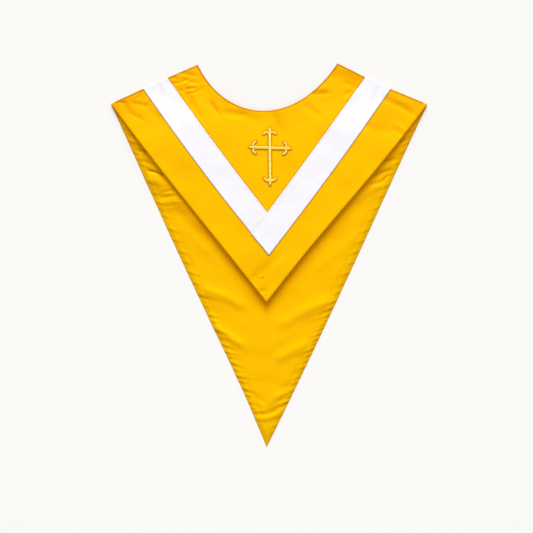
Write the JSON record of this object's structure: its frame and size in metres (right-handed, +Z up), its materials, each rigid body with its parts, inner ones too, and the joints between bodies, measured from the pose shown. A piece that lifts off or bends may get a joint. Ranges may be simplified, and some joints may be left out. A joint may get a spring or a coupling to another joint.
{
  "type": "choir stole",
  "caption": "Satin choir stole laid flat, front up, with a short front V over a long back V, contrast trim bands and a raised embroidered cross.",
  "frame": {"origin": "middle of the laid stole's length and width, on the surface that it lies on", "axes": "+Z up from the surface, +Y from the back panel's point to the neck, +X to the right as seen from above"},
  "size_m": [0.5231, 0.6342, 0.0123],
  "materials": {
    "gold_satin": "smooth polyester satin with a soft sheen",
    "white_satin": "smooth polyester satin with a soft sheen",
    "gold_thread": "glossy rayon thread in satin stitch"
  },
  "bodies": {
    "root": {"back_panel": "gold_satin", "front_panel": "gold_satin", "trim_band_left": "white_satin", "trim_band_right": "white_satin", "cross_embroidery": "gold_thread"}
  },
  "joints": []
}
